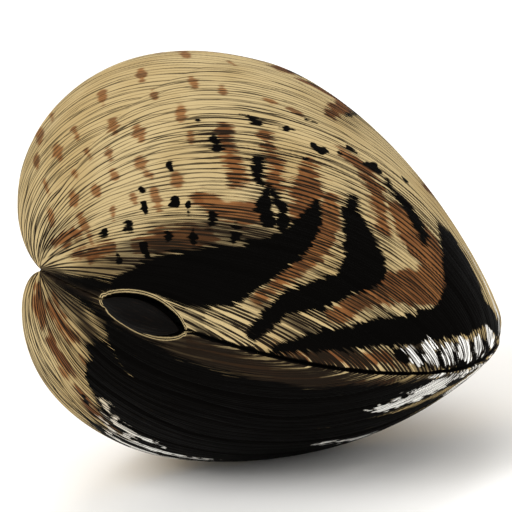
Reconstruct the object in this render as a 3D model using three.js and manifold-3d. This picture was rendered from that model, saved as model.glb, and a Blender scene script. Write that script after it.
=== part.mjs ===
// Closed bivalve shell lying on its lower valve. Millimetres, +Z up, beaks to -X, hinge side to -Y.
import * as THREE from 'three';
import { mergeVertices } from 'three/addons/utils/BufferGeometryUtils.js';
import Module from 'manifold-3d';

const wasm = await Module();
wasm.setup();

// Margin of both valves, in shares of the chord from the beaks to the rear tip
const chord = 56;
const beak = new THREE.Vector2(0, 0);
const rearTip = new THREE.Vector2(1, 0);
const ventralPoint = new THREE.Vector2(0.16, 0.846);
const rearTipHandle = new THREE.Vector2(0.999, 0.523);
const ventralRearHandle = new THREE.Vector2(0.391, 0.846);
const ventralForeHandle = new THREE.Vector2(-0.44, 0.846);
const grownBeakHandle = new THREE.Vector2(0.075, 0.468);
const hingeForeHandle = new THREE.Vector2(0.55, -0.46);
const hingeRearHandle = new THREE.Vector2(1.02, -0.46);
const marginCentre = new THREE.Vector3(0.4, 0.29, 0);

// Coil of each valve's growth lines about its beak, and how far the young ones bulge forward of it
const upperCoil = {
  angle: THREE.MathUtils.degToRad(118),
  power: 0.596,
  youngHandle: new THREE.Vector2(-0.82, 0.226),
};
const lowerCoil = {
  angle: THREE.MathUtils.degToRad(108),
  power: 0.7,
  youngHandle: new THREE.Vector2(-0.437, 0.109),
};

// Growth ridges, wall and fit, in mm
const ridgeCount = 14;
const ridgeHeight = 0.3;
const ridgeProfile = [0, 1, 0.4];
const hollowWidthShare = 0.91;
const hollowDepthShare = 0.89;
const valveGap = 0.3;
const ligamentGap = 0.35;

// Ligament: where it starts and ends on the hinge line, and its half sizes in mm
const ligamentStart = 0.115;
const ligamentEnd = 0.245;
const ligamentHalfWidth = 1.8;
const ligamentHalfDepth = 1.3;
const ligamentRise = 0.5;

// Rest: how far the shell leans down to its rear tip, and the depth of the worn spot that it lies on
const restTilt = THREE.MathUtils.degToRad(18);
const wornDepth = 0.45;

const rearMargin = new THREE.CubicBezierCurve(rearTip, rearTipHandle, ventralRearHandle, ventralPoint);
const hingeLine = new THREE.CubicBezierCurve(beak, hingeForeHandle, hingeRearHandle, rearTip);

const restTurn = new THREE.Quaternion().setFromAxisAngle(new THREE.Vector3(0, 1, 0), restTilt);

// Point of a growth line, from the rear tip (0) round the ventral side to the beak (1)
function marginPoint(coil, size, along) {
  if (along < 0.5) return rearMargin.getPoint(2 * along);
  const beakHandle = coil.youngHandle.clone().lerp(grownBeakHandle, size);
  const foreMargin = new THREE.CubicBezierCurve(ventralPoint, ventralForeHandle, beakHandle, beak);
  return foreMargin.getPoint(2 * along - 1);
}

// Point of a valve's outside: a growth line of the given size, hung on the hinge line and tilted by the coil
function valvePoint(coil, size, along) {
  const end = hingeLine.getPoint(size);
  const reach = end.length();
  const axis = end.divideScalar(reach);
  const turn = coil.angle * (1 - size ** coil.power);
  const point = marginPoint(coil, size, along);
  const flat = point.y * Math.cos(turn);
  const x = axis.x * point.x - axis.y * flat;
  const y = axis.y * point.x + axis.x * flat;
  return new THREE.Vector3(x, y, point.y * Math.sin(turn)).multiplyScalar(reach * chord);
}

function valveNormal(coil, size, along) {
  const step = 0.004;
  const inner = Math.max(size - step, 0.001);
  const outer = Math.min(size + step, 1);
  const early = Math.max(along - step, 0);
  const late = Math.min(along + step, 1);
  const growth = valvePoint(coil, outer, along).sub(valvePoint(coil, inner, along));
  const sweep = valvePoint(coil, size, late).sub(valvePoint(coil, size, early));
  return growth.cross(sweep).normalize();
}

// Closed body from points and triangles, mirrored for the lower valve and turned into the rest pose
function restBody(points, triangles, side) {
  const placed = points.map((p) => new THREE.Vector3(p.x, p.y, p.z * side).applyQuaternion(restTurn));
  const wound = side > 0 ? triangles : triangles.map(([a, b, c]) => [a, c, b]);
  return new wasm.Manifold(new wasm.Mesh({
    numProp: 3,
    vertProperties: new Float32Array(placed.flatMap((p) => p.toArray())),
    triVerts: new Uint32Array(wound.flat()),
  }));
}

// Dome over the margin, closed flat at the valve plane; shape() moves each point of its outside
function dome(rows, columns, side, shape) {
  const points = [];
  for (let i = 0; i < rows; i += 1) {
    const size = (1 - i / rows) ** 1.3;
    for (let j = 0; j < columns; j += 1) {
      const along = j / columns;
      const point = shape(size, along, i);
      point.z = i === 0 || j === 0 ? shape(1, 0, 0).z : point.z;
      points.push(point);
    }
  }
  const apex = points.push(shape(1, 1, 0)) - 1;
  const middle = points.push(shape(1, 0, 0).setX(marginCentre.x * chord).setY(marginCentre.y * chord)) - 1;
  const at = (i, j) => (i < rows && j < columns ? i * columns + j : apex);
  const triangles = [];
  for (let i = 0; i < rows; i += 1) {
    for (let j = 0; j < columns; j += 1) {
      const quad = [at(i, j), at(i, j + 1), at(i + 1, j + 1), at(i + 1, j)];
      if (quad[1] !== quad[2]) triangles.push([quad[0], quad[1], quad[2]]);
      if (quad[2] !== quad[3]) triangles.push([quad[0], quad[2], quad[3]]);
    }
  }
  const rim = [];
  for (let j = 0; j < columns; j += 1) rim.push(at(0, j));
  rim.push(apex);
  for (let i = rows - 1; i > 0; i -= 1) rim.push(at(i, 0));
  rim.forEach((index, k) => triangles.push([middle, rim[(k + 1) % rim.length], index]));
  return restBody(points, triangles, side);
}

// Outside of a valve with its growth ridges, which fade towards the beak
function ridgedPoint(coil, size, along, row) {
  const point = valvePoint(coil, size, along);
  const fade = Math.min(1, point.length() / (0.4 * chord));
  const height = ridgeHeight * fade * ridgeProfile[row % ridgeProfile.length];
  if (height > 0) point.addScaledVector(valveNormal(coil, size, along), height);
  point.z = Math.max(point.z, 0) + valveGap / 2;
  return point;
}

// Inside of a valve: the same dome drawn in towards the middle of the margin and cut through its plane
function hollowPoint(coil, size, along) {
  const centre = marginCentre.clone().multiplyScalar(chord);
  const point = valvePoint(coil, size, along).sub(centre);
  point.multiply(new THREE.Vector3(hollowWidthShare, hollowWidthShare, hollowDepthShare)).add(centre);
  point.z -= valveGap;
  return point;
}

// Spindle along the hinge line behind the beaks, enlarged all round for the seat that takes it
function spindle(grow) {
  const stations = 14;
  const spokes = 16;
  const points = [];
  for (let i = 0; i <= stations; i += 1) {
    const share = i / stations;
    const size = THREE.MathUtils.lerp(ligamentStart, ligamentEnd, share);
    const foot = hingeLine.getPoint(size).multiplyScalar(chord);
    const along = hingeLine.getTangent(size);
    const outward = new THREE.Vector2(along.y, -along.x);
    foot.addScaledVector(along, (2 * share - 1) * grow);
    const swell = Math.sin(Math.PI * share) ** 0.75;
    const spokeCount = i === 0 || i === stations ? 1 : spokes;
    for (let k = 0; k < spokeCount; k += 1) {
      const angle = (2 * Math.PI * k) / spokes;
      const depth = swell * (ligamentHalfDepth + grow) * Math.cos(angle) + ligamentRise;
      const width = swell * (ligamentHalfWidth + grow) * Math.sin(angle);
      const inPlane = foot.clone().addScaledVector(outward, depth);
      points.push(new THREE.Vector3(inPlane.x, inPlane.y, width));
    }
  }
  const last = points.length - 1;
  const at = (i, k) => (i === 0 ? 0 : i === stations ? last : 1 + (i - 1) * spokes + (k % spokes));
  const triangles = [];
  for (let i = 0; i < stations; i += 1) {
    for (let k = 0; k < spokes; k += 1) {
      if (i > 0) triangles.push([at(i, k), at(i + 1, k), at(i, k + 1)]);
      if (i < stations - 1) triangles.push([at(i, k + 1), at(i + 1, k), at(i + 1, k + 1)]);
    }
  }
  return restBody(points, triangles, 1);
}

function geometryOf(body) {
  const mesh = body.getMesh();
  const geometry = new THREE.BufferGeometry();
  geometry.setAttribute('position', new THREE.BufferAttribute(new Float32Array(mesh.vertProperties), 3));
  geometry.setIndex(new THREE.BufferAttribute(new Uint32Array(mesh.triVerts), 1));
  return mergeVertices(geometry);
}

function namedMesh(name, body, colour, roughness) {
  const material = new THREE.MeshStandardMaterial({ color: colour, roughness, metalness: 0 });
  material.name = name;
  const mesh = new THREE.Mesh(geometryOf(body), material);
  mesh.name = name;
  return mesh;
}

const ridgeRows = ridgeCount * ridgeProfile.length;
const seat = spindle(ligamentGap);
const [upperValve, roundLower] = [[1, upperCoil], [-1, lowerCoil]].map(([side, coil]) => {
  const outside = dome(ridgeRows, 36, side, (size, along, row) => ridgedPoint(coil, size, along, row));
  const inside = dome(14, 24, side, (size, along) => hollowPoint(coil, size, along));
  return outside.subtract(inside).subtract(seat);
});

// Worn spot under the lower valve, so that the shell lies still
const floorZ = roundLower.boundingBox().min[2] + wornDepth;
const ground = new THREE.BoxGeometry(4 * chord, 4 * chord, chord).translate(0, 0, floorZ - chord / 2);
ground.deleteAttribute('normal');
ground.deleteAttribute('uv');
const groundSolid = mergeVertices(ground);
const lowerValve = roundLower.subtract(new wasm.Manifold(new wasm.Mesh({
  numProp: 3,
  vertProperties: groundSolid.attributes.position.array,
  triVerts: new Uint32Array(groundSolid.index.array),
})));

const shell = new THREE.Group();
shell.name = 'bivalve_shell';
shell.add(namedMesh('upper_valve', upperValve, 0xcdb482, 0.5));
shell.add(namedMesh('lower_valve', lowerValve, 0x2b211a, 0.5));
shell.add(namedMesh('ligament', spindle(0), 0x1a120c, 0.4));

// Origin at the middle of the footprint, on the ground
const box = new THREE.Box3().setFromObject(shell);
const centre = box.getCenter(new THREE.Vector3());
shell.children.forEach((mesh) => mesh.geometry.translate(-centre.x, -centre.y, -floorZ));

export default shell;
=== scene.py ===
import math
import bpy
import numpy as np
from mathutils import Matrix, Vector


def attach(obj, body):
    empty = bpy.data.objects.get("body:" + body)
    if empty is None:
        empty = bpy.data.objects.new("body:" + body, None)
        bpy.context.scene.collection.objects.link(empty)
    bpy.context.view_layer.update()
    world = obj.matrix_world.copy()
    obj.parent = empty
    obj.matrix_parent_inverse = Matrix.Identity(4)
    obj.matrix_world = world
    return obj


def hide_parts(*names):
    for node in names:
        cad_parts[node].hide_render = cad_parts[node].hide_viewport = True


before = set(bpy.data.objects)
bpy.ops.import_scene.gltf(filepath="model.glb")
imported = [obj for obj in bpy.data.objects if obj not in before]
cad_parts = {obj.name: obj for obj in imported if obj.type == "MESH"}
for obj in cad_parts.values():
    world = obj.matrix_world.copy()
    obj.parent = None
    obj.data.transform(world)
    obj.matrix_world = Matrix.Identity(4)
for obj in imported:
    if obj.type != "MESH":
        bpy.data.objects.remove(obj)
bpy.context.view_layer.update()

scene = bpy.context.scene
print("frame loaded")

mm = 1000.0  # millimetres in a metre
nudge = 0.002  # small change of age or ray, to measure slopes by
edgeBand = 0.0001  # ages and rays this near 0 or 1 lie on a sheet's edge

# growth form of the shell, the same values as its solids
shellForm = {
    "chord": 0.056,  # beaks to rear tip, metres; the points below are shares of it
    "beak": (0.0, 0.0),
    "rearTip": (1.0, 0.0),
    "rearTipHandle": (0.999, 0.523),
    "ventralRearHandle": (0.391, 0.846),
    "ventralPoint": (0.16, 0.846),
    "ventralForeHandle": (-0.44, 0.846),
    "grownBeakHandle": (0.075, 0.468),
    "hingeForeHandle": (0.55, -0.46),
    "hingeRearHandle": (1.02, -0.46),
    "marginCentre": (0.4, 0.29),
    "agePower": 1.3,  # a growth line's size is its age to this power
    "leastAge": 1e-5,  # keeps the lines apart at the beak
    "valveGap": 0.0003,
    "restTilt": math.radians(18),
    "restShift": (-0.0232031, -0.0139784, 0.0301837),
    "wornFloor": 0.00002,  # the lower valve is flat under this height
}
# coil of each valve's growth lines about its beak, and how far the young ones bulge forward of it
valveCoil = {
    "upper_valve": {"angle": math.radians(118), "power": 0.596, "youngHandle": (-0.82, 0.226)},
    "lower_valve": {"angle": math.radians(108), "power": 0.7, "youngHandle": (-0.437, 0.109)},
}


def smooth(low, high, value):
    share = np.clip((value - low) / (high - low), 0.0, 1.0)
    return share * share * (3.0 - 2.0 * share)


def bezier(first, second, third, fourth, share):
    share = np.asarray(share)[..., None]
    rest = 1.0 - share
    first, second, third, fourth = (np.asarray(p, dtype=float) for p in (first, second, third, fourth))
    return first * rest**3 + 3 * second * share * rest**2 + 3 * third * share**2 * rest + fourth * share**3


def hingePoint(size):
    form = shellForm
    return bezier(form["beak"], form["hingeForeHandle"], form["hingeRearHandle"], form["rearTip"], size)


# point of a valve's outside before the rest tilt: age 0 beak, 1 margin; ray 0 hinge line, 1 beak again
def growthPoint(coil, age, ray):
    form = shellForm
    age = np.maximum(np.asarray(age, dtype=float), form["leastAge"])
    age, ray = np.broadcast_arrays(age, np.asarray(ray, dtype=float))
    size = age ** form["agePower"]
    end = hingePoint(size)
    reach = np.hypot(end[..., 0], end[..., 1])
    axis = end / reach[..., None]
    turn = coil["angle"] * (1.0 - size ** coil["power"])
    rear = bezier(form["rearTip"], form["rearTipHandle"], form["ventralRearHandle"], form["ventralPoint"],
                  np.clip(2 * ray, 0, 1))
    young = np.asarray(coil["youngHandle"])
    grown = np.asarray(form["grownBeakHandle"])
    handle = young + (grown - young) * size[..., None]
    fore = bezier(form["ventralPoint"], form["ventralForeHandle"], handle, form["beak"],
                  np.clip(2 * ray - 1, 0, 1))
    line = np.where((ray < 0.5)[..., None], rear, fore)
    flat = line[..., 1] * np.cos(turn)
    x = axis[..., 0] * line[..., 0] - axis[..., 1] * flat
    y = axis[..., 1] * line[..., 0] + axis[..., 0] * flat
    return np.stack([x, y, line[..., 1] * np.sin(turn)], -1) * (reach * form["chord"])[..., None]


def growthNormal(coil, age, ray):
    later, sooner = np.minimum(age + nudge, 1.0), np.maximum(age - nudge, nudge)
    onward, backward = np.minimum(ray + nudge, 1.0), np.maximum(ray - nudge, 0.0)
    growth = growthPoint(coil, later, ray) - growthPoint(coil, sooner, ray)
    sweep = growthPoint(coil, age, onward) - growthPoint(coil, age, backward)
    normal = np.cross(growth, sweep)
    leastLength = 1e-15
    return normal / np.maximum(np.linalg.norm(normal, axis=-1, keepdims=True), leastLength)


# mirrors the lower valve and lays the shell down
def restPlace(points, side):
    form = shellForm
    x, y, z = points[..., 0], points[..., 1], points[..., 2] * side
    cosine, sine = math.cos(form["restTilt"]), math.sin(form["restTilt"])
    return np.stack([cosine * x + sine * z, y, cosine * z - sine * x], -1) + np.asarray(form["restShift"])


ligamentForm = {
    "start": 0.115,  # place on the hinge line
    "end": 0.245,
    "halfWidth": 0.0018,
    "halfDepth": 0.0013,
    "rise": 0.0005,
    "swellPower": 0.75,  # blunts the ends
    "segments": 96,
    "rings": 72,
    "fibreHeight": 0.00004,
    "fibres": ((1.0, 46, 3), (0.6, 19, 9)),  # share of the height, count around, twist from end to end
}
seatForm = {
    "samples": 80,  # along the ligament's middle line
    "searchRadius": 0.014,
    "farGap": 50.0,  # mm, for all that lies beyond the search
    "reachAside": 0.0025,  # how far from the hinge line the seat still counts as under the ligament
}


# signed gap in mm from the ligament's edge, over the valve's outside
def ligamentGap(points):
    form, seat = ligamentForm, seatForm
    share = np.linspace(0, 1, seat["samples"])
    line = hingePoint(form["start"] + (form["end"] - form["start"]) * share) * shellForm["chord"]
    middle = line[seat["samples"] // 2]
    gap = np.full(len(points), seat["farGap"])
    near = np.hypot(points[:, 0] - middle[0], points[:, 1] - middle[1]) < seat["searchRadius"]
    away = np.hypot(points[near, 0, None] - line[None, :, 0], points[near, 1, None] - line[None, :, 1])
    nearest = away.argmin(axis=1)
    width = form["halfWidth"] * np.sin(np.pi * share[nearest]) ** form["swellPower"]
    pastEnd = (nearest == 0) | (nearest == len(share) - 1)
    beyond = np.where(pastEnd, away.min(axis=1), 0.0)
    aside = np.maximum(away.min(axis=1) - seat["reachAside"], 0.0)
    gap[near] = (np.hypot(points[near, 2], beyond) - width + aside) * mm
    return gap


lineForm = {
    "fall": 2.9,  # how far the growth lines draw together over the back of the valve
    "reach": 0.245,
    "power": 1.1,
    "baseCount": 16,  # lines that reach the beak; finer ones come in where these spread
    "leastArea": 1e-6,  # keeps the rate defined at the beak
    "squaredRates": (1e-8, 4.0),  # least and greatest
}


# growth line through a point, 0 at the beak and 1 at the margin: they fan out at the beak and lean
# towards the rear tip at the seam
def growthLine(age, ray):
    form = lineForm
    drawn = 1.0 - np.exp(-((ray / form["reach"]) ** form["power"]))
    return 1.0 - (1.0 - age) * np.exp(-form["fall"] * drawn)


# growth lines per millimetre of surface, for one line in all
def lineRate(coil, age, ray):
    sooner, later = np.maximum(age - nudge, nudge), np.minimum(np.maximum(age, 2 * nudge) + nudge, 1.0)
    backward, onward = np.maximum(ray - nudge, 0.0), np.minimum(ray + nudge, 1.0)
    ages, rays = later - sooner, onward - backward
    growth = (growthPoint(coil, later, ray) - growthPoint(coil, sooner, ray)) * mm / ages[:, None]
    sweep = (growthPoint(coil, age, onward) - growthPoint(coil, age, backward)) * mm / rays[:, None]
    rise = (growthLine(later, ray) - growthLine(sooner, ray)) / ages
    run = (growthLine(age, onward) - growthLine(age, backward)) / rays
    byAge, byBoth, byRay = (growth * growth).sum(1), (growth * sweep).sum(1), (sweep * sweep).sum(1)
    area = np.maximum(byAge * byRay - byBoth**2, lineForm["leastArea"])
    squared = (rise**2 * byRay - 2 * rise * run * byBoth + run**2 * byAge) / area
    return np.sqrt(np.clip(squared, *lineForm["squaredRates"]))


reliefForm = {
    "ridgeSpacing": 1.3,  # mm, between growth ridges
    "ridgeHeight": 0.00007,
    "ridgeLevels": 8,  # each level doubles the ridges
    "ridgeLean": 0.75,
    "wavers": ((0.25, 19, 31, 0.0), (0.2, 43, -17, 1.3)),  # reach in mm, waves by ray and age, start
    "haltLines": (0.3, 0.5, 0.64, 0.74, 0.81, 0.86, 0.895, 0.925, 0.95, 0.97, 0.985),
    "haltDepth": 0.00022,
    "haltWidth": 0.3,  # mm
    "haltShare": 0.6,  # mean share of the depth
    "haltVaries": 0.4,
    "swellHeight": 0.0002,
    "swellWaves": ((15, 5, 0), (0, 11, 2)),  # waves by age and ray, start
    "beakFade": (0.002, 0.016),  # metres from the beak over which the relief comes in
    "seatDepth": 0.0011,
    "seatEdge": (0.3, -0.5),  # mm from the ligament's edge
    "rimHeight": 0.0002,
    "rimAway": 0.75,  # mm from the ligament's edge
    "rimWidth": 0.28,  # mm
}


# height of the growth ridges, growth halts and slow unevenness over the smooth form
def relief(coil, age, ray, points, gap):
    form = reliefForm
    line, rate = growthLine(age, ray), lineRate(coil, age, ray)
    for reach, byRay, byAge, start in form["wavers"]:
        line = line + rate * reach * np.sin(byRay * ray + byAge * age + start)
    height = np.zeros(len(age))
    for level in range(form["ridgeLevels"]):
        count = lineForm["baseCount"] * 2.0**level
        share = np.clip(1.0 - np.abs(np.log2(1.0 / (rate * count * form["ridgeSpacing"]))), 0.0, 1.0)
        phase = ((line * count) % 1.0) ** form["ridgeLean"]
        height += form["ridgeHeight"] * share * (0.5 - 0.5 * np.cos(2 * np.pi * phase))
    for k, halt in enumerate(form["haltLines"]):
        groove = np.exp(-(((line - halt) / (rate * form["haltWidth"])) ** 2))
        share = form["haltShare"] + form["haltVaries"] * math.sin(2.1 * k + 1)
        height -= form["haltDepth"] * groove * share
    swell = form["swellHeight"]
    for byAge, byRay, start in form["swellWaves"]:
        swell = swell * np.sin(byAge * age + byRay * ray + start)
    height += swell
    height *= smooth(*form["beakFade"], np.linalg.norm(points, axis=-1))
    height -= form["seatDepth"] * smooth(*form["seatEdge"], gap)
    height += form["rimHeight"] * np.exp(-(((gap - form["rimAway"]) / form["rimWidth"]) ** 2))
    return height


# strokes of colour: (age, ray, half width in mm) along each one's middle; spots: age and ray of both ends
upperMarks = {
    "black": {
        "dorsalPatch": ((0.19, 0.04, 0.7), (0.235, 0.06, 1.6), (0.285, 0.08, 2.6), (0.34, 0.08, 3.7),
                        (0.385, 0.085, 4.0), (0.415, 0.1, 3.3), (0.45, 0.115, 2.6), (0.475, 0.135, 2.1),
                        (0.5, 0.165, 1.3), (0.51, 0.19, 0.4)),
        "lunule": ((0.06, 0.02, 0.1), (0.1, 0.03, 0.5), (0.15, 0.035, 0.9), (0.19, 0.04, 1.0)),
        "ringLeft": ((0.445, 0.21, 0.5), (0.435, 0.185, 1.0), (0.44, 0.16, 0.9)),
        "ringRight": ((0.45, 0.205, 0.5), (0.46, 0.18, 0.6), (0.46, 0.155, 0.9)),
        "secondArm": ((0.565, 0.195, 0.5), (0.555, 0.175, 1.2), (0.565, 0.15, 1.8), (0.575, 0.125, 2.4),
                      (0.58, 0.105, 2.4)),
        "secondLimb": ((0.58, 0.105, 2.3), (0.55, 0.085, 1.8), (0.52, 0.07, 2.0), (0.5, 0.065, 1.8),
                       (0.475, 0.055, 1.5), (0.465, 0.04, 1.2), (0.455, 0.025, 1.1), (0.45, 0.01, 0.9)),
        "thirdLimb": ((0.495, 0.005, 0.7), (0.53, 0.015, 1.2), (0.56, 0.025, 1.5), (0.595, 0.03, 1.6),
                      (0.63, 0.04, 1.8), (0.665, 0.045, 2.0), (0.72, 0.055, 2.1), (0.78, 0.07, 2.4)),
        "thirdArm": ((0.765, 0.07, 2.8), (0.785, 0.095, 3.8), (0.77, 0.12, 3.8), (0.755, 0.145, 3.0),
                     (0.74, 0.165, 2.0), (0.72, 0.18, 0.6)),
        "tipArm": ((0.82, 0.085, 3.0), (0.875, 0.07, 2.4), (0.93, 0.05, 1.4)),
        "toothBed": ((0.69, 0.02, 0.9), (0.75, 0.018, 1.4), (0.82, 0.02, 1.6), (0.89, 0.025, 1.2)),
        "thinFlame": ((0.63, 0.21, 0.3), (0.645, 0.2, 0.8), (0.66, 0.185, 1.0), (0.665, 0.175, 1.0),
                      (0.675, 0.16, 0.9), (0.675, 0.145, 0.3)),
        "spotOne": ((0.4, 0.315, 0.4), (0.4, 0.295, 0.7), (0.395, 0.285, 0.5)),
        "spotTwo": ((0.445, 0.26, 0.5), (0.44, 0.245, 0.9), (0.435, 0.23, 0.6), (0.44, 0.215, 0.2)),
        "spotThree": ((0.46, 0.33, 0.5), (0.465, 0.32, 0.7), (0.475, 0.32, 0.2)),
        "spotFour": ((0.365, 0.185, 0.4), (0.365, 0.17, 0.6), (0.36, 0.16, 0.2)),
        "spotFive": ((0.395, 0.16, 0.4), (0.395, 0.145, 0.6), (0.39, 0.13, 0.4)),
        "spotSix": ((0.63, 0.225, 0.2), (0.63, 0.215, 0.5), (0.635, 0.205, 0.2)),
    },
    "brown": {
        "flameOne": ((0.515, 0.245, 0.7), (0.5, 0.215, 1.5), (0.5, 0.195, 1.8), (0.49, 0.17, 1.6)),
        "patchEdge": ((0.527, 0.19, 1.0), (0.522, 0.158, 1.5), (0.508, 0.132, 1.4), (0.492, 0.112, 1.2),
                      (0.477, 0.1, 1.1), (0.462, 0.082, 1.0), (0.442, 0.06, 0.8)),
        "flameTwo": ((0.57, 0.26, 0.6), (0.585, 0.245, 0.9), (0.595, 0.23, 1.0), (0.605, 0.205, 0.9),
                     (0.605, 0.18, 0.7), (0.605, 0.155, 0.6)),
        "thinWash": ((0.635, 0.185, 1.3), (0.655, 0.165, 2.4), (0.68, 0.145, 2.8), (0.71, 0.125, 2.2)),
        "thirdEdge": ((0.72, 0.108, 2.6), (0.685, 0.096, 2.4), (0.64, 0.092, 2.0), (0.61, 0.087, 1.7),
                      (0.59, 0.077, 1.4), (0.57, 0.062, 1.1), (0.555, 0.05, 0.9)),
        "dorsalWash": ((0.355, 0.21, 0.9), (0.38, 0.185, 1.2), (0.405, 0.175, 1.7), (0.425, 0.175, 1.5)),
        "crestFlame": ((0.465, 0.295, 0.5), (0.465, 0.265, 0.6), (0.465, 0.24, 0.7), (0.455, 0.215, 0.9)),
        "bigSpot": ((0.42, 0.325, 0.7), (0.41, 0.295, 0.7), (0.41, 0.26, 0.9), (0.41, 0.23, 1.0)),
        "patchShade": ((0.25, 0.14, 0.4), (0.28, 0.15, 1.2), (0.315, 0.14, 1.7), (0.355, 0.145, 1.2)),
        "beakOne": ((0.1, 0.3, 0.3), (0.13, 0.27, 0.9), (0.155, 0.25, 0.5)),
        "beakTwo": ((0.13, 0.17, 0.2), (0.165, 0.15, 0.8), (0.205, 0.15, 0.6)),
        "seamBand": ((0.5, 0.005, 0.8), (0.565, 0.008, 0.9), (0.61, 0.01, 0.9), (0.66, 0.014, 0.8),
                     (0.7, 0.016, 0.6)),
    },
    "pale": {
        "escutcheon": ((0.375, 0.02, 0.7), (0.4, 0.015, 1.1), (0.43, 0.01, 0.7), (0.455, 0.005, 0.4)),
        "toothOne": ((0.703, 0.027, 0.7), (0.722, 0.016, 0.7)),
        "toothTwo": ((0.738, 0.031, 1.0), (0.762, 0.016, 1.0)),
        "toothThree": ((0.777, 0.032, 0.8), (0.797, 0.016, 0.7)),
        "toothFour": ((0.81, 0.038, 0.9), (0.835, 0.018, 0.9)),
        "toothFive": ((0.847, 0.04, 0.8), (0.872, 0.02, 0.8)),
        "toothSix": ((0.88, 0.05, 0.8), (0.912, 0.027, 0.7)),
        "tipRim": ((0.97, 0.02, 0.2), (0.93, 0.065, 0.2), (0.88, 0.105, 0.2), (0.84, 0.14, 0.2),
                   (0.805, 0.165, 0.2)),
    },
    "heavyLines": {
        "crest": ((0.385, 0.36, 0.7), (0.43, 0.35, 1.0), (0.48, 0.335, 1.1), (0.53, 0.315, 1.1),
                  (0.57, 0.285, 1.1)),
        "shoulder": ((0.42, 0.28, 0.5), (0.49, 0.255, 0.7), (0.55, 0.235, 1.0), (0.605, 0.22, 1.1),
                     (0.685, 0.2, 1.1)),
        "patchEdge": ((0.19, 0.14, -2.0), (0.26, 0.16, 0.8), (0.31, 0.17, 1.8), (0.38, 0.155, 2.0),
                      (0.445, 0.155, 1.7)),
    },
    # painted shade: dark washes by the beak and above the black patch
    "shade": {
        "byBeak": ((0.09, 0.07, -0.8), (0.15, 0.085, 0.9), (0.2, 0.1, 1.6), (0.26, 0.12, 1.9)),
        "abovePatch": ((0.2, 0.08, -2.0), (0.24, 0.12, -0.4), (0.285, 0.135, 1.8), (0.34, 0.135, 2.4),
                       (0.395, 0.14, 2.0), (0.455, 0.14, 1.0)),
    },
    "brownSpots": ((0.43, 0.56, 0.395, 0.53), (0.365, 0.58, 0.335, 0.55), (0.285, 0.575, 0.265, 0.54),
                   (0.25, 0.595, 0.23, 0.56), (0.395, 0.72, 0.335, 0.675), (0.385, 0.755, 0.29, 0.685),
                   (0.26, 0.685, 0.225, 0.65), (0.19, 0.59, 0.17, 0.55), (0.14, 0.505, 0.125, 0.41),
                   (0.215, 0.5, 0.21, 0.445), (0.185, 0.405, 0.18, 0.355), (0.25, 0.5, 0.245, 0.455),
                   (0.305, 0.5, 0.295, 0.455), (0.27, 0.425, 0.265, 0.39), (0.255, 0.355, 0.255, 0.325),
                   (0.22, 0.35, 0.22, 0.315), (0.23, 0.255, 0.225, 0.225), (0.32, 0.415, 0.315, 0.38),
                   (0.38, 0.5, 0.37, 0.46), (0.385, 0.4, 0.375, 0.375), (0.375, 0.34, 0.37, 0.32),
                   (0.435, 0.47, 0.425, 0.435), (0.455, 0.41, 0.45, 0.395), (0.52, 0.495, 0.515, 0.47),
                   (0.56, 0.575, 0.495, 0.535), (0.545, 0.6, 0.53, 0.585), (0.295, 0.335, 0.295, 0.315),
                   (0.295, 0.3, 0.3, 0.28), (0.295, 0.255, 0.295, 0.235), (0.295, 0.23, 0.295, 0.21),
                   (0.265, 0.265, 0.265, 0.24), (0.33, 0.265, 0.33, 0.245), (0.35, 0.225, 0.355, 0.2),
                   (0.175, 0.295, 0.175, 0.25), (0.175, 0.22, 0.175, 0.18), (0.5, 0.36, 0.51, 0.35),
                   (0.525, 0.335, 0.535, 0.32)),
    "blackSpots": ((0.33, 0.295, 0.33, 0.275), (0.275, 0.235, 0.275, 0.215), (0.28, 0.27, 0.28, 0.26),
                   (0.32, 0.22, 0.32, 0.205), (0.335, 0.205, 0.335, 0.195), (0.245, 0.205, 0.245, 0.185),
                   (0.335, 0.155, 0.335, 0.135), (0.3, 0.165, 0.3, 0.145), (0.26, 0.14, 0.265, 0.12),
                   (0.215, 0.125, 0.22, 0.105), (0.205, 0.215, 0.205, 0.205), (0.5, 0.26, 0.51, 0.25),
                   (0.53, 0.27, 0.545, 0.26), (0.555, 0.265, 0.57, 0.255), (0.585, 0.265, 0.6, 0.255),
                   (0.45, 0.345, 0.46, 0.335), (0.395, 0.36, 0.41, 0.35), (0.495, 0.305, 0.51, 0.3),
                   (0.54, 0.315, 0.555, 0.305), (0.605, 0.245, 0.62, 0.235), (0.665, 0.24, 0.67, 0.23)),
}
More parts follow.
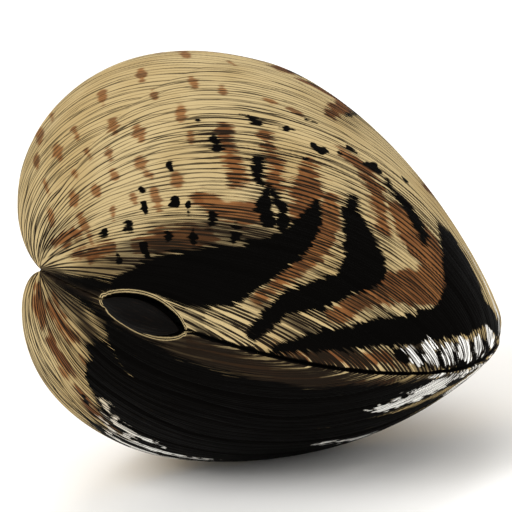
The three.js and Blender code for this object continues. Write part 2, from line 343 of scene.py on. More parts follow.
lowerMarks = {
    "black": {
        "lunule": ((0.07, 0.02, 0.1), (0.11, 0.03, 0.5), (0.16, 0.04, 0.9), (0.2, 0.05, 1.0)),
        # painted shade: these black fields darken the lower valve's shaded side, over some of its own dark
        # pattern
        "blackShadeMain": ((0.2, 0.07, 1.0), (0.235, 0.1, 2.8), (0.285, 0.12, 4.6), (0.35, 0.125, 5.6),
                      (0.43, 0.11, 6.2), (0.525, 0.09, 6.2), (0.61, 0.068, 5.6), (0.69, 0.055, 4.6),
                      (0.76, 0.045, 3.2), (0.82, 0.045, 1.8)),
        "blackShadeMargin": ((0.215, 0.18, 2.6), (0.265, 0.245, 5.0), (0.33, 0.285, 7.4), (0.405, 0.295, 9.0),
                      (0.475, 0.275, 9.8), (0.55, 0.235, 9.6), (0.625, 0.2, 8.2), (0.7, 0.17, 6.4),
                      (0.77, 0.15, 5.2), (0.83, 0.125, 4.2), (0.89, 0.095, 2.8), (0.94, 0.06, 1.4)),
        "blackShadeJoin": ((0.34, 0.2, 1.5), (0.42, 0.17, 2.4), (0.48, 0.155, 2.6), (0.56, 0.15, 2.6),
                      (0.65, 0.12, 2.6), (0.74, 0.1, 2.4), (0.82, 0.085, 2.0), (0.89, 0.065, 1.3)),
        "blackShadeFore": ((0.3, 0.5, 0.3), (0.325, 0.48, 1.4), (0.36, 0.46, 2.8), (0.41, 0.42, 3.8),
                      (0.47, 0.38, 4.0)),
    },
    "brown": {
        "lobeOne": ((0.05, 0.52, 0.5), (0.09, 0.48, 1.1), (0.12, 0.45, 0.6)),
        "lobeTwo": ((0.15, 0.42, 0.6), (0.18, 0.385, 1.2), (0.21, 0.36, 0.5)),
        "lobeThree": ((0.09, 0.28, 0.5), (0.13, 0.25, 1.0), (0.16, 0.22, 0.5)),
        "lobeFour": ((0.24, 0.4, 0.6), (0.29, 0.41, 1.0), (0.33, 0.4, 0.5)),
        "seamWash": ((0.35, 0.02, 1.0), (0.43, 0.025, 1.1), (0.51, 0.025, 1.1), (0.59, 0.025, 1.0),
                     (0.675, 0.02, 0.9)),
    },
    "pale": {
        "foreOne": ((0.265, 0.33, 0.4), (0.295, 0.36, 0.7), (0.34, 0.365, 0.7), (0.38, 0.35, 0.5)),
        "foreTwo": ((0.305, 0.42, 0.4), (0.335, 0.42, 0.7), (0.375, 0.4, 0.7), (0.42, 0.375, 0.6),
                    (0.465, 0.35, 0.4)),
        "foreThree": ((0.345, 0.48, 0.3), (0.385, 0.455, 0.6), (0.435, 0.425, 0.6), (0.48, 0.39, 0.4)),
        "underEdge": ((0.56, 0.19, 0.5), (0.6, 0.19, 0.8), (0.64, 0.185, 0.8)),
        "rearEdge": ((0.63, 0.085, 0.9), (0.675, 0.07, 1.6), (0.725, 0.055, 2.0), (0.78, 0.035, 1.6)),
        "tipEdge": ((0.76, 0.09, 1.0), (0.815, 0.07, 1.2), (0.885, 0.035, 1.0)),
        "seamEdge": ((0.765, 0.012, 0.6), (0.81, 0.02, 0.8), (0.87, 0.03, 0.8)),
    },
    "heavyLines": {
        "lobe": ((0.05, 0.4, 1.5), (0.12, 0.3, 2.5), (0.2, 0.25, 2.5)),
        "lobeEdge": ((0.08, 0.55, 1.0), (0.14, 0.58, 2.4), (0.21, 0.57, 3.0), (0.27, 0.53, 2.2)),
    },
    # painted shade: dark washes on the lower lobe and under the seam
    "shade": {
        "lobe": ((0.06, 0.2, 0.2), (0.14, 0.1, 1.2), (0.185, 0.15, 1.3), (0.225, 0.2, 1.2)),
        "underSeam": ((0.19, 0.045, 2.2), (0.28, 0.045, 2.8), (0.35, 0.035, 3.0), (0.44, 0.03, 3.0),
                      (0.53, 0.03, 2.8), (0.62, 0.03, 2.4), (0.69, 0.03, 1.4)),
    },
    "brownSpots": ((0.075, 0.155, 0.1, 0.195), (0.09, 0.525, 0.11, 0.51), (0.145, 0.23, 0.165, 0.245),
                   (0.135, 0.38, 0.16, 0.39), (0.19, 0.26, 0.21, 0.265), (0.2, 0.43, 0.215, 0.42)),
    "blackSpots": ((0.25, 0.4, 0.27, 0.405), (0.33, 0.42, 0.35, 0.415)),
}


farForm = {
    "chevronRays": (0.37, 0.48, 0.59, 0.7, 0.81, 0.91, 0.27),
    "chevronAges": (0.7, 0.83, 0.95),
    "nearRay": 0.3,  # the near marks reach the places below this ray and age
    "nearAge": 0.8,
    # one chevron: age and ray from its tip, half width in mm, share of the lean
    "chevron": ((-0.085, -0.045, 0.2, 1), (-0.03, -0.022, 1.0, 0), (0.0, 0.0, 1.5, 0),
                (-0.025, 0.018, 1.0, 0), (-0.07, 0.04, 0.2, 1)),
    "ageVaries": 0.018,
    "lean": 0.012,
    "meanSize": 0.75,
    "sizeVaries": 0.35,
    "brownBehind": 0.03,  # age by which the brown lies behind the black
    "brownMargin": 0.4,  # mm
    "spotRays": (0.42, 0.53, 0.64, 0.75, 0.86),
    "spotAges": (0.64, 0.77, 0.89),
    "spotAgeVaries": 0.016,
    "spotRayVaries": 0.012,
    "spotHalfAge": 0.012,
    "spotRayRun": 0.006,
    "blackEvery": 4,
}


# ragged chevrons and spots on the far side of either valve, in rows that follow the rays
def farMarks(marks):
    form = farForm
    black, brown = dict(marks["black"]), dict(marks["brown"])
    brownSpots, blackSpots = list(marks["brownSpots"]), list(marks["blackSpots"])
    for i, ray in enumerate(form["chevronRays"]):
        for j, age in enumerate(form["chevronAges"]):
            if ray < form["nearRay"] and age < form["nearAge"]:
                continue
            tip = age + form["ageVaries"] * math.sin(3.1 * i + 1.9 * j)
            lean = form["lean"] * math.sin(1.7 * i - 2.6 * j)
            size = form["meanSize"] + form["sizeVaries"] * math.sin(2.3 * i + 5.1 * j)
            path = [(tip + a, ray + r + lean * part, w * size) for a, r, w, part in form["chevron"]]
            behind, margin = form["brownBehind"], form["brownMargin"]
            black["far%d%d" % (i, j)] = path
            brown["far%d%d" % (i, j)] = [(a - behind, r, w + margin) for a, r, w in path]
    for i, ray in enumerate(form["spotRays"]):
        for j, age in enumerate(form["spotAges"]):
            a = age + form["spotAgeVaries"] * math.sin(2.3 * i + 4.1 * j)
            r = ray + form["spotRayVaries"] * math.cos(3.7 * i + 2.2 * j)
            spots = blackSpots if (i + 2 * j) % form["blackEvery"] == 0 else brownSpots
            spots.append((a - form["spotHalfAge"], r, a + form["spotHalfAge"], r + form["spotRayRun"]))
    return black, brown, brownSpots, blackSpots


# signed distance in mm to a set of strokes, positive inside them
def strokeField(coil, points, strokes):
    farAway, leastRun = -30.0, 1e-9
    places = points * mm
    field = np.full(len(points), farAway)
    for stroke in strokes:
        ages, rays, widths = zip(*stroke)
        path = growthPoint(coil, ages, rays) * mm
        for k in range(len(path) - 1):
            run = path[k + 1] - path[k]
            share = np.clip((places - path[k]) @ run / max(run @ run, leastRun), 0.0, 1.0)
            away = np.linalg.norm(places - path[k] - share[:, None] * run, axis=1)
            field = np.maximum(field, widths[k] + (widths[k + 1] - widths[k]) * share - away)
    return field


spotForm = {
    "brownHalf": 0.75,  # mm
    "blackHalf": 0.55,  # mm
    "meanSize": 0.8,
    "sizeVaries": 0.35,
    "firstEnd": 0.75,  # width of the ends, in shares of the middle's
    "lastEnd": 0.55,
}


# spots of uneven size, each a short stroke
def spotStrokes(spots, halfWidth):
    form = spotForm
    strokes = []
    for k, (age, ray, lastAge, lastRay) in enumerate(spots):
        size = halfWidth * (form["meanSize"] + form["sizeVaries"] * math.sin(2.7 * k))
        strokes.append(((age, ray, size * form["firstEnd"]),
                        ((age + lastAge) / 2, (ray + lastRay) / 2, size),
                        (lastAge, lastRay, size * form["lastEnd"])))
    return strokes


def deselectAll():
    if bpy.context.object and bpy.context.object.mode != "OBJECT":
        bpy.ops.object.mode_set(mode="OBJECT")
    bpy.ops.object.select_all(action="DESELECT")


# flat grid whose own square gives every point its age and ray
def addSheet(name, rows, columns):
    deselectAll()
    bpy.ops.mesh.primitive_grid_add(x_subdivisions=columns, y_subdivisions=rows, size=2.0)
    sheet = bpy.context.object
    sheet.name = name
    flat = np.empty(len(sheet.data.vertices) * 3)
    sheet.data.vertices.foreach_get("co", flat)
    flat = flat.reshape(-1, 3)
    return sheet, (flat[:, 1] + 1.0) / 2.0, (flat[:, 0] + 1.0) / 2.0


def placePoints(piece, points):
    piece.data.vertices.foreach_set("co", np.ascontiguousarray(points, dtype=np.float32).ravel())
    piece.data.update()


def keepValues(piece, name, values):
    layer = piece.data.attributes.new(name, "FLOAT", "POINT")
    layer.data.foreach_set("value", np.ascontiguousarray(values, dtype=np.float32))


valveBuild = {
    "rows": 300,
    "columns": 300,
    "hollowRows": 26,
    "hollowColumns": 40,
    "hollowWidthShare": 0.91,
    "hollowDepthShare": 0.89,
    "seamAges": (0.25, 1.0),  # the dark seam runs from the ligament to the rear tip
    "seamSteps": 60,
    "seamHalf": 0.16,  # mm
    "weldDistance": 2e-6,
}


def buildValve(name, side, marks):
    build, form, coil = valveBuild, shellForm, valveCoil[name]
    outside, age, ray = addSheet(name, build["rows"], build["columns"])
    smoothPoints = growthPoint(coil, age, ray)
    gap = ligamentGap(smoothPoints)
    height = relief(coil, age, ray, smoothPoints, gap)
    points = smoothPoints + growthNormal(coil, age, ray) * height[:, None]
    seam = (age > 1.0 - edgeBand) | (ray < edgeBand)
    points[:, 2] = np.where(seam, 0.0, np.maximum(points[:, 2], 0.0)) + form["valveGap"] / 2
    pole = (age < edgeBand) | (ray > 1.0 - edgeBand)
    points[pole] = (0.0, 0.0, form["valveGap"] / 2)
    placed = restPlace(points, side)
    if side < 0:
        placed[:, 2] = np.maximum(placed[:, 2], form["wornFloor"])
    placePoints(outside, placed)
    black, brown, brownSpots, blackSpots = farMarks(marks)
    seamAges = np.linspace(*build["seamAges"], build["seamSteps"])
    seamStroke = [(seamAge, 0.0, build["seamHalf"]) for seamAge in seamAges]
    fields = {
        "seamMark": (seamStroke,),
        # black pattern, with the lower valve's painted shade
        "blackPatternAndShade": black.values(),
        "brownMark": brown.values(),
        "paleMark": marks["pale"].values(),
        "heavyLines": marks["heavyLines"].values(),
        "shade": marks["shade"].values(),
        "brownSpot": spotStrokes(brownSpots, spotForm["brownHalf"]),
        "blackSpot": spotStrokes(blackSpots, spotForm["blackHalf"]),
    }
    for field, strokes in fields.items():
        keepValues(outside, field, strokeField(coil, smoothPoints, strokes))
    keepValues(outside, "age", age)
    keepValues(outside, "ray", ray)
    keepValues(outside, "growthLine", growthLine(age, ray))
    keepValues(outside, "lineRate", lineRate(coil, age, ray))
    keepValues(outside, "ligamentGap", gap)

    inside, hollowAge, hollowRay = addSheet(name + "Hollow", build["hollowRows"], build["hollowColumns"])
    centre = np.array([*form["marginCentre"], 0.0]) * form["chord"]
    shares = np.array([build["hollowWidthShare"], build["hollowWidthShare"], build["hollowDepthShare"]])
    hollow = (growthPoint(coil, hollowAge, hollowRay) - centre) * shares + centre
    hollow[:, 2] += form["valveGap"] / 2
    hollowPole = (hollowAge < edgeBand) | (hollowRay > 1.0 - edgeBand)
    hollow[hollowPole] = hollow[hollowPole][0]
    placePoints(inside, restPlace(hollow, side))

    # weld the beak points, then join the two walls along the seam
    deselectAll()
    for wall in (outside, inside):
        wall.select_set(True)
    bpy.context.view_layer.objects.active = outside
    bpy.ops.object.join()
    bpy.ops.object.mode_set(mode="EDIT")
    bpy.ops.mesh.select_mode(type="VERT")
    bpy.ops.mesh.select_all(action="SELECT")
    bpy.ops.mesh.remove_doubles(threshold=build["weldDistance"])
    bpy.ops.mesh.select_all(action="DESELECT")
    bpy.ops.mesh.select_mode(type="EDGE")
    bpy.ops.mesh.select_non_manifold(extend=False, use_wire=False, use_boundary=True, use_multi_face=False,
                                     use_non_contiguous=False, use_verts=False)
    bpy.ops.mesh.bridge_edge_loops()
    bpy.ops.mesh.select_all(action="SELECT")
    bpy.ops.mesh.normals_make_consistent(inside=False)
    bpy.ops.object.mode_set(mode="OBJECT")
    bpy.ops.object.shade_smooth()
    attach(outside, "root")
    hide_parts(name)
    print(name, "built,", len(outside.data.polygons), "faces")
    return outside


# small helpers for the node materials
def newTree(name):
    material = bpy.data.materials.new(name)
    material.use_nodes = True
    tree = material.node_tree
    return material, tree, tree.nodes["Principled BSDF"]


def feed(tree, node, socket, value):
    if isinstance(value, bpy.types.NodeSocket):
        tree.links.new(value, node.inputs[socket])
    else:
        node.inputs[socket].default_value = value


def calc(tree, operation, first, second=0.0, third=0.0):
    node = tree.nodes.new("ShaderNodeMath")
    node.operation = operation
    for k, value in enumerate((first, second, third)):
        feed(tree, node, k, value)
    return node.outputs[0]


def step(tree, value, low, high):
    node = tree.nodes.new("ShaderNodeMapRange")
    node.interpolation_type = "SMOOTHSTEP"
    feed(tree, node, "Value", value)
    feed(tree, node, "From Min", low)
    feed(tree, node, "From Max", high)
    return node.outputs[0]


def times(tree, first, second):
    return calc(tree, "MULTIPLY", first, second)


def scaled(tree, value, factor, added):
    return calc(tree, "MULTIPLY_ADD", value, factor, added)


def greatest(tree, first, *others):
    for value in others:
        first = calc(tree, "MAXIMUM", first, value)
    return first


def mixColour(tree, share, first, second):
    node = tree.nodes.new("ShaderNodeMix")
    node.data_type = "RGBA"
    feed(tree, node, 0, share)
    for k, value in ((6, first), (7, second)):  # the colour sockets
        feed(tree, node, k, value if isinstance(value, bpy.types.NodeSocket) else (*value, 1.0))
    return node.outputs[2]


def grain(tree, vector, scale, detail=2.0, roughness=0.5):
    node = tree.nodes.new("ShaderNodeTexNoise")
    feed(tree, node, "Vector", vector)
    feed(tree, node, "Scale", scale)
    feed(tree, node, "Detail", detail)
    feed(tree, node, "Roughness", roughness)
    return node.outputs[0]


def kept(tree, name):
    node = tree.nodes.new("ShaderNodeAttribute")
    node.attribute_name = name
    return node.outputs["Fac"]


def vectorOf(tree, x, y, z):
    node = tree.nodes.new("ShaderNodeCombineXYZ")
    for k, value in enumerate((x, y, z)):
        feed(tree, node, k, value)
    return node.outputs[0]


# noise that is drawn out by the scales of its three coordinates
def drawnNoise(tree, x, y, z, detail, roughness=0.5):
    return grain(tree, vectorOf(tree, x, y, z), 1.0, detail, roughness)


def addBump(tree, shader, height, strength, distance):
    bump = tree.nodes.new("ShaderNodeBump")
    feed(tree, bump, "Strength", strength)
    feed(tree, bump, "Distance", distance)
    feed(tree, bump, "Height", height)
    tree.links.new(bump.outputs[0], shader.inputs["Normal"])


lineFinish = {
    "levels": 7,  # each level doubles the lines, where there is room for them
    "spacing": 0.47,  # mm, closest that the lines come
    "spacingBand": (0.8, 1.2),  # shares of the spacing over which a level comes in
    "wanderScale": 0.3,
    "sway": 0.7,  # share of a line's spacing
    "fullSwayLevel": 3,  # the wider sets before it wander less
    "breakScale": 1.7,
    "breakEdge": (0.32, 0.68),
    "levelSeed": 3.0,
    "breakSeed": 11.0,
    "halfWidth": 0.036,  # mm, and what strength and weight add
    "strengthWidth": 0.055,
    "weightWidth": 0.1,
    "softEdge": 0.035,  # mm
    "depth": 0.42,  # cover of a faint line, and what strength and weight add
    "strengthDepth": 0.5,
    "weightDepth": 0.5,
}


# dark growth lines, with finer sets between them where they spread; gives their cover, 0 to 1
def growthLines(tree, seed, line, rate, along, weight):
    form = lineFinish
    cover = None
    for level in range(form["levels"]):
        count = lineForm["baseCount"] * 2.0**level
        spread = times(tree, line, count)
        slow = times(tree, spread, form["wanderScale"])
        wander = drawnNoise(tree, slow, along, seed + form["levelSeed"] * level, detail=1.0)
        sway = form["sway"] * min(1.0, 2.0 ** (level - form["fullSwayLevel"]))
        phase = calc(tree, "FRACT", calc(tree, "ADD", spread, times(tree, wander, sway)))
        across = calc(tree, "ABSOLUTE", calc(tree, "SUBTRACT", phase, 0.5))
        perMm = times(tree, rate, count)
        away = calc(tree, "DIVIDE", across, perMm)
        quick = times(tree, spread, form["breakScale"])
        broken = drawnNoise(tree, quick, along, seed + form["breakSeed"] + level, detail=2.0)
        strength = step(tree, broken, *form["breakEdge"])
        half = scaled(tree, weight, form["weightWidth"], form["halfWidth"])
        half = scaled(tree, strength, form["strengthWidth"], half)
        mask = step(tree, calc(tree, "SUBTRACT", half, away), -form["softEdge"], form["softEdge"])
        depth = scaled(tree, weight, form["weightDepth"], form["depth"])
        depth = scaled(tree, strength, form["strengthDepth"], depth)
        mask = times(tree, mask, calc(tree, "MINIMUM", depth, 1.0))
        if level > 0:
            room = calc(tree, "DIVIDE", 1.0, perMm)
            fits = step(tree, room, *(form["spacing"] * share for share in form["spacingBand"]))
            mask = times(tree, mask, fits)
        cover = mask if cover is None else greatest(tree, cover, mask)
    return cover


# colours, scales of the noise, and the values between which each mark's edge comes in, mostly in mm
valveFinish = {
    "cream": (0.45, 0.345, 0.175),
    "deepCream": (0.38, 0.275, 0.125),
    "brown": (0.12, 0.037, 0.01),
    "darkBrown": (0.1, 0.032, 0.009),
    "paleBrown": (0.19, 0.07, 0.02),
    "spotBrown": (0.205, 0.075, 0.02),
    "white": (0.93, 0.92, 0.88),
    "line": (0.012, 0.008, 0.005),
    # painted shade colour, for the dark washes
    "shade": (0.018, 0.011, 0.006),
    "black": (0.0012, 0.001, 0.0008),
    "alongScale": 14.0,
    "hatchScale": 170.0,
    "farHatchScale": 900.0,  # where the growth lines draw together
    "farRate": (0.012, 0.004),
    "hatchRoughness": 0.6,
    "blotchScale": 90.0,
    "blotchEdge": (0.38, 0.66),
    "cloudScale": 260.0,
    "dashScale": 620.0,
    "spotFray": 2.0,
    "spotEdge": (-0.22, 0.28),
    "spotCover": 0.85,
    "spotHatch": (-0.02, 0.12),
    "flameBreak": 1.5,
    "flameFray": 4.2,
    "flameEdge": (-0.55, 0.1),
    "flameCover": 0.94,
    "flameCloud": (0.4, 0.62),
    "flameHatch": (0.02, 0.16),
    "paleEdge": (-0.1, 0.15),
    "whiteRun": 0.2,  # of age, from cream to white
    # how far the hatching frays the painted shade, and the edge over which it comes in
    "paintedShadeFray": 4.0,
    "paintedShadeSoftEdge": (-1.8, 1.4),
    "nearBlack": (-3.2, -0.3),
    "blackWeight": 0.5,
    "nearSeam": (0.11, 0.0),  # rays
    "nearBeak": (0.24, 0.06),  # ages
    "beakWeight": 0.55,
    "heavyEdge": (-1.0, 0.5),
    "heavyWeight": 0.4,
    "brownWeight": 0.6,
    "paleRelief": -0.6,  # weight that the pale places take off
    "blackEdge": (-0.12, 0.12),
    "dotBreak": 2.4,
    "dotEdge": (-0.1, 0.1),
    "seamBreak": 0.5,
    "seamEdge": (-0.06, 0.06),
    "rimInside": (0.3, 0.4),
    "rimOutside": (0.8, 0.66),
    "rimLineInside": (0.48, 0.52),
    "rimLineOutside": (0.64, 0.6),
    "seatEdge": (0.4, 0.25),
    "roughness": 0.5,
    "roughnessVaries": 0.2,
    "specular": 0.01,
    "bumpStrength": 0.35,
    "bumpDistance": 0.0002,
    "bumpHatch": 0.6,
}


def valveMaterial(look):
    finish, seed, raggedness = valveFinish, look["seed"], look["raggedness"]
    material, tree, shader = newTree(look["material"])
    age, ray = kept(tree, "age"), kept(tree, "ray")
    line, rate = kept(tree, "growthLine"), kept(tree, "lineRate")
    along = times(tree, age, finish["alongScale"])
    place = tree.nodes.new("ShaderNodeTexCoord").outputs["Object"]

    # hatch: broken strokes that run along the growth lines; dash: even grain
    near, far = (
        drawnNoise(tree, times(tree, line, finish[scale]), along, seed, 2.0, finish["hatchRoughness"])
        for scale in ("hatchScale", "farHatchScale"))
    farShare = step(tree, rate, *finish["farRate"])
    hatch = scaled(tree, farShare, calc(tree, "SUBTRACT", far, near), near)
    hatch = calc(tree, "SUBTRACT", hatch, 0.5)
    blotch = grain(tree, place, finish["blotchScale"], detail=3.0)
    cloud = grain(tree, place, finish["cloudScale"], detail=2.0)
    dash = calc(tree, "SUBTRACT", grain(tree, place, finish["dashScale"], detail=1.0), 0.5)

    # cream ground, brown spots and brown flames
    colour = mixColour(tree, step(tree, blotch, *finish["blotchEdge"]), finish["cream"], finish["deepCream"])
    spotEdge = scaled(tree, hatch, finish["spotFray"], kept(tree, "brownSpot"))
    spotShare = times(tree, step(tree, spotEdge, *finish["spotEdge"]), finish["spotCover"])
    spot = mixColour(tree, step(tree, hatch, *finish["spotHatch"]), finish["spotBrown"], finish["darkBrown"])
    colour = mixColour(tree, spotShare, colour, spot)
    flameEdge = scaled(tree, dash, finish["flameBreak"], kept(tree, "brownMark"))
    flameEdge = scaled(tree, hatch, finish["flameFray"], flameEdge)
    flameShare = times(tree, step(tree, flameEdge, *finish["flameEdge"]), finish["flameCover"])
    flame = mixColour(tree, step(tree, cloud, *finish["flameCloud"]), finish["brown"], finish["paleBrown"])
    flame = mixColour(tree, step(tree, hatch, *finish["flameHatch"]), flame, finish["darkBrown"])
    colour = mixColour(tree, flameShare, colour, flame)

    # bare pale places, white away from the beak
    paleEdge = scaled(tree, dash, look["paleBreak"], kept(tree, "paleMark"))
    paleShare = step(tree, scaled(tree, hatch, raggedness, paleEdge), *finish["paleEdge"])
    whiteShare = step(tree, age, look["whiteFrom"], look["whiteFrom"] + finish["whiteRun"])
    paleColour = mixColour(tree, whiteShare, finish["cream"], finish["white"])
    colour = mixColour(tree, paleShare, colour, paleColour)

    # painted shade: dark washes by the beak, above the black, on the lower lobe and under the seam
    paintedShadeField = scaled(tree, hatch, finish["paintedShadeFray"], kept(tree, "shade"))
    paintedShadeShare = times(tree, step(tree, paintedShadeField, *finish["paintedShadeSoftEdge"]), look["paintedShadeDepth"])
    colour = mixColour(tree, paintedShadeShare, colour, finish["shade"])

    # growth lines, heavier by the black, the seam and the beak, on the brown and in the painted shade
    # black pattern, with the lower valve's painted shade
    blackPatternAndShade = kept(tree, "blackPatternAndShade")
    byBlack = times(tree, step(tree, blackPatternAndShade, *finish["nearBlack"]), finish["blackWeight"])
    bySeam = step(tree, ray, *finish["nearSeam"])
    byBeak = times(tree, step(tree, age, *finish["nearBeak"]), finish["beakWeight"])
    heavy = times(tree, step(tree, kept(tree, "heavyLines"), *finish["heavyEdge"]), finish["heavyWeight"])
    onBrown = times(tree, flameShare, finish["brownWeight"])
    weight = greatest(tree, byBlack, heavy, bySeam, byBeak, onBrown, paintedShadeShare)
    weight = times(tree, weight, scaled(tree, paleShare, finish["paleRelief"], 1.0))
    cover = growthLines(tree, seed, line, rate, along, weight)
    colour = mixColour(tree, cover, colour, finish["line"])

    # black chevrons, flames and spots, and the lower valve's painted shade as black fields, all with edges
    # frayed along the growth lines
    blackPatternAndShadeShare = step(tree, scaled(tree, hatch, raggedness, blackPatternAndShade), *finish["blackEdge"])
    dotEdge = scaled(tree, dash, finish["dotBreak"], kept(tree, "blackSpot"))
    dot = step(tree, calc(tree, "ADD", hatch, dotEdge), *finish["dotEdge"])
    blackPatternAndShadeShare = times(tree, greatest(tree, blackPatternAndShadeShare, dot), calc(tree, "SUBTRACT", 1.0, paleShare))
    colour = mixColour(tree, blackPatternAndShadeShare, colour, finish["black"])

    # dark seam between the valves
    seamEdge = scaled(tree, dash, finish["seamBreak"], kept(tree, "seamMark"))
    colour = mixColour(tree, step(tree, seamEdge, *finish["seamEdge"]), colour, finish["black"])

    # pale rim with a dark line round the ligament's dark seat
    gap = kept(tree, "ligamentGap")
    rimShare, rimLine = (
        times(tree, step(tree, gap, *finish[band + "Inside"]), step(tree, gap, *finish[band + "Outside"]))
        for band in ("rim", "rimLine"))
    colour = mixColour(tree, rimShare, colour, finish["cream"])
    seatShare = greatest(tree, step(tree, gap, *finish["seatEdge"]), rimLine)
    colour = mixColour(tree, seatShare, colour, finish["black"])

    feed(tree, shader, "Base Color", colour)
    feed(tree, shader, "Roughness", scaled(tree, cloud, finish["roughnessVaries"], finish["roughness"]))
    feed(tree, shader, "Specular IOR Level", finish["specular"])
    height = calc(tree, "SUBTRACT", times(tree, hatch, finish["bumpHatch"]), cover)
    addBump(tree, shader, height, finish["bumpStrength"], finish["bumpDistance"])
    return material


# what differs between the valves
valveLook = {
    "upper_valve": {
        "material": "upperValveShell",
        "side": 1,
        "marks": upperMarks,
        "seed": 0.0,
        "raggedness": 3.2,  # mm that the hatching frays the black and pale marks by
        "paleBreak": 0.8,  # mm that the grain breaks the pale marks by
        "whiteFrom": 0.45,  # age from which the pale marks turn white
        # how dark the painted shade is on this valve
        "paintedShadeDepth": 0.68,
    },
    "lower_valve": {
        "material": "lowerValveShell",
        "side": -1,
        "marks": lowerMarks,
        "seed": 31.0,
        "raggedness": 5.0,
        "paleBreak": 4.5,
        "whiteFrom": 0.2,
        # how dark the painted shade is on this valve
        "paintedShadeDepth": 0.95,
    },
}
for valveName, look in valveLook.items():
    valve = buildValve(valveName, look["side"], look["marks"])
    valve.data.materials.clear()
    valve.data.materials.append(valveMaterial(look))
print("valves finished")


# ligament: a ball drawn out along the hinge line, with fine lengthwise fibres
def buildLigament():
    form = ligamentForm
    deselectAll()
    bpy.ops.mesh.primitive_uv_sphere_add(segments=form["segments"], ring_count=form["rings"], radius=1.0)
    piece = bpy.context.object
    piece.name = "ligament"
    ball = np.empty(len(piece.data.vertices) * 3)
    piece.data.vertices.foreach_get("co", ball)
    ball = ball.reshape(-1, 3)
    share = np.arccos(np.clip(-ball[:, 2], -1, 1)) / np.pi
    turn = np.arctan2(ball[:, 1], ball[:, 0])
    size = form["start"] + (form["end"] - form["start"]) * share
    foot = hingePoint(size) * shellForm["chord"]
    ahead = hingePoint(size + nudge) - hingePoint(size - nudge)
    ahead /= np.linalg.norm(ahead, axis=1, keepdims=True)
    outward = np.stack([ahead[:, 1], -ahead[:, 0]], -1)
    swell = np.sin(np.pi * share) ** form["swellPower"]
    fibre = sum(part * np.sin(turn * count + twist * share) for part, count, twist in form["fibres"])
    fibre = fibre * form["fibreHeight"]
    depth = swell * (form["halfDepth"] + fibre) * np.cos(turn) + form["rise"]
    width = swell * (form["halfWidth"] + fibre) * np.sin(turn)
    flat = foot + outward * depth[:, None]
    placePoints(piece, restPlace(np.column_stack([flat, width]), 1))
    keepValues(piece, "share", share)
    keepValues(piece, "turn", turn / math.pi)
    bpy.ops.object.mode_set(mode="EDIT")
    bpy.ops.mesh.select_all(action="SELECT")
    bpy.ops.mesh.normals_make_consistent(inside=False)
    bpy.ops.object.mode_set(mode="OBJECT")
    bpy.ops.object.shade_smooth()
    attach(piece, "root")
    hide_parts("ligament")
    return piece


ligamentFinish = {
    "dark": (0.0015, 0.0012, 0.001),
    "worn": (0.014, 0.008, 0.005),
    "alongScale": 5.0,
    "aroundScale": 40.0,
    "fibreRoughness": 0.6,
    "wornEdge": (0.52, 0.8),
    "roughness": 0.45,
    "roughnessVaries": 0.3,
    "specular": 0.03,
    "bumpStrength": 0.4,
    "bumpDistance": 0.0002,
}


def ligamentMaterial():
    finish = ligamentFinish
    material, tree, shader = newTree("ligamentHorn")
    along = times(tree, kept(tree, "share"), finish["alongScale"])
    around = times(tree, kept(tree, "turn"), finish["aroundScale"])
    fibres = drawnNoise(tree, along, around, 0.0, 3.0, finish["fibreRoughness"])
    wear = step(tree, fibres, *finish["wornEdge"])
    feed(tree, shader, "Base Color", mixColour(tree, wear, finish["dark"], finish["worn"]))
    feed(tree, shader, "Roughness", scaled(tree, fibres, finish["roughnessVaries"], finish["roughness"]))
    feed(tree, shader, "Specular IOR Level", finish["specular"])
    addBump(tree, shader, fibres, finish["bumpStrength"], finish["bumpDistance"])
    return material


ligament = buildLigament()
ligament.data.materials.clear()
ligament.data.materials.append(ligamentMaterial())
print("ligament built")

floorBuild = {"size": 6.0, "colour": (0.93, 0.92, 0.90), "roughness": 0.8}
deselectAll()
bpy.ops.mesh.primitive_plane_add(size=floorBuild["size"])
floor = bpy.context.object
floor.name = "floor"
floorMaterial, floorTree, floorShader = newTree("paleFloor")
feed(floorTree, floorShader, "Base Color", (*floorBuild["colour"], 1.0))
feed(floorTree, floorShader, "Roughness", floorBuild["roughness"])
floor.data.materials.append(floorMaterial)

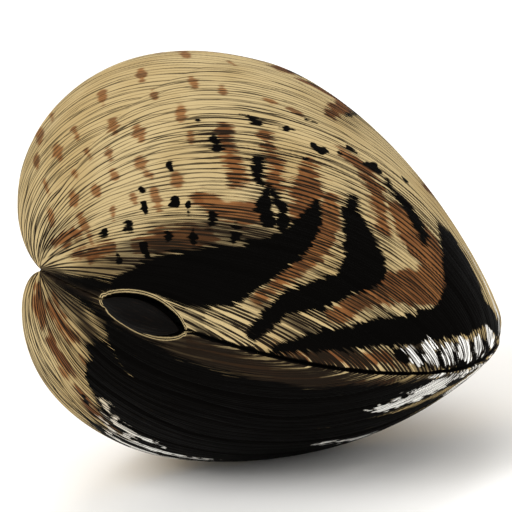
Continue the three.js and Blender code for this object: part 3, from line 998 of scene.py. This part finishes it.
# soft light from the upper left, with a wide fill from the right and one from behind
lightTarget = Vector((0, 0, 0.025))
lightRig = {
    "keyLight": {"at": (-0.35, -0.3, 0.55), "size": 0.45, "power": 2.6},
    "fillLight": {"at": (0.5, -0.45, 0.3), "size": 0.6, "power": 2.0},
    "topLight": {"at": (0.0, 0.35, 0.6), "size": 0.5, "power": 1.8},
}
for lampName, lamp in lightRig.items():
    bpy.ops.object.light_add(type="AREA", location=lamp["at"])
    light = bpy.context.object
    light.name = lampName
    light.data.size = lamp["size"]
    light.data.energy = lamp["power"]
    light.rotation_euler = (lightTarget - Vector(lamp["at"])).to_track_quat("-Z", "Y").to_euler()
worldLight = {"colour": (1.0, 0.99, 0.97, 1.0), "strength": 0.78}
world = bpy.data.worlds.new("studio")
scene.world = world
world.use_nodes = True
feed(world.node_tree, world.node_tree.nodes["Background"], "Color", worldLight["colour"])
feed(world.node_tree, world.node_tree.nodes["Background"], "Strength", worldLight["strength"])
scene.view_settings.view_transform = "Standard"

# camera at the drawing's angle
cameraView = {
    "azimuth": 16.5,  # degrees, as the next two
    "elevation": 11.4,
    "roll": -12.4,
    "distance": 0.435,
    "aim": (-0.00047, -0.00018, 0.02481),
    "lens": 250.0,
    "sensor": 36.0,
    "clipStart": 0.01,
    "clipEnd": 20.0,
}
azimuth, elevation, roll = (math.radians(cameraView[k]) for k in ("azimuth", "elevation", "roll"))
aside, ahead = math.sin(azimuth), -math.cos(azimuth)
back = Vector((aside * math.cos(elevation), ahead * math.cos(elevation), math.sin(elevation)))
level = Vector((math.cos(azimuth), math.sin(azimuth), 0.0))
upright = back.cross(level)
right = level * math.cos(roll) + upright * math.sin(roll)
top = upright * math.cos(roll) - level * math.sin(roll)
bpy.ops.object.camera_add()
camera = bpy.context.object
camera.data.lens = cameraView["lens"]
camera.data.sensor_width = cameraView["sensor"]
camera.data.clip_start = cameraView["clipStart"]
camera.data.clip_end = cameraView["clipEnd"]
turned = Matrix((right, top, back)).transposed().to_4x4()
camera.matrix_world = Matrix.Translation(Vector(cameraView["aim"]) + back * cameraView["distance"]) @ turned
scene.camera = camera
print("stage, light and camera set")
